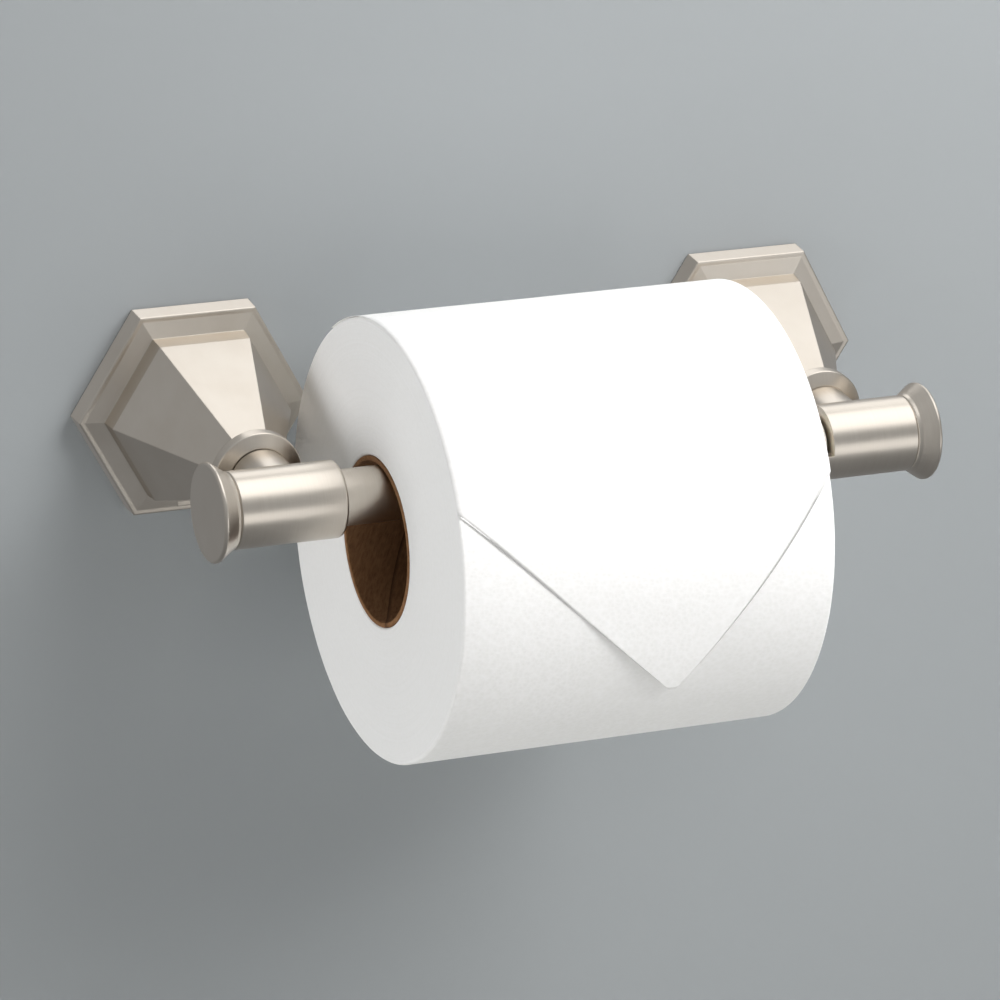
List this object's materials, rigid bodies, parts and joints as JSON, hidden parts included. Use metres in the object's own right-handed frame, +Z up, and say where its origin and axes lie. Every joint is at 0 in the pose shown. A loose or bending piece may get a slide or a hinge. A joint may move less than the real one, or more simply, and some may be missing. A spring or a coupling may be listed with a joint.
{
  "type": "toilet paper holder",
  "caption": "Wall toilet paper holder: two hexagonal posts, a pivoting arm that lifts out of a cradle at its free end, and a roll of paper on it.",
  "frame": {"origin": "on the wall, midway between the two posts at the height of their axes: the centre of the four wall screws", "axes": "+X along the arm towards its free end, +Y into the wall, +Z up"},
  "size_m": [0.2226, 0.153, 0.1146],
  "materials": {
    "nickel": "brushed nickel plate",
    "zinc": "bright zinc plate",
    "steel": "zinc-plated steel",
    "nylon": "moulded nylon",
    "kraft_board": "wound kraft board",
    "tissue": "embossed two-ply tissue"
  },
  "bodies": {
    "fixed": {"left_post": "nickel", "right_post": "nickel", "left_collar": "nickel", "right_collar": "nickel", "right_neck": "nickel", "right_barrel": "nickel", "right_end_cap": "nickel", "rest_pad": "nylon", "pivot_bush": "nylon", "friction_washer": "nylon", "left_wall_bracket": "zinc", "right_wall_bracket": "zinc", "left_bracket_screws": "steel", "right_bracket_screws": "steel", "left_set_screw": "steel", "right_set_screw": "steel", "right_lock_washer": "steel", "right_neck_screw": "steel"},
    "arm": {"pivot_neck": "nickel", "pivot_washer": "steel", "pivot_screw": "steel", "left_barrel": "nickel", "left_end_cap": "nickel", "arm_rod": "nickel", "rod_end_plug": "nylon"},
    "roll": {"cardboard_core": "kraft_board", "paper_roll": "tissue", "paper_tail": "tissue"}
  },
  "joints": [
    {"name": "arm_pivot", "type": "hinge", "parent": "fixed", "child": "arm", "pos_m": [-0.07935, -0.0704, 0], "axis": [0, -1, 0], "range_deg": [0, 95]},
    {"name": "roll_spin", "type": "hinge", "parent": "arm", "child": "roll", "pos_m": [0, -0.0704, -0.01323], "axis": [1, 0, 0], "continuous": true}
  ]
}
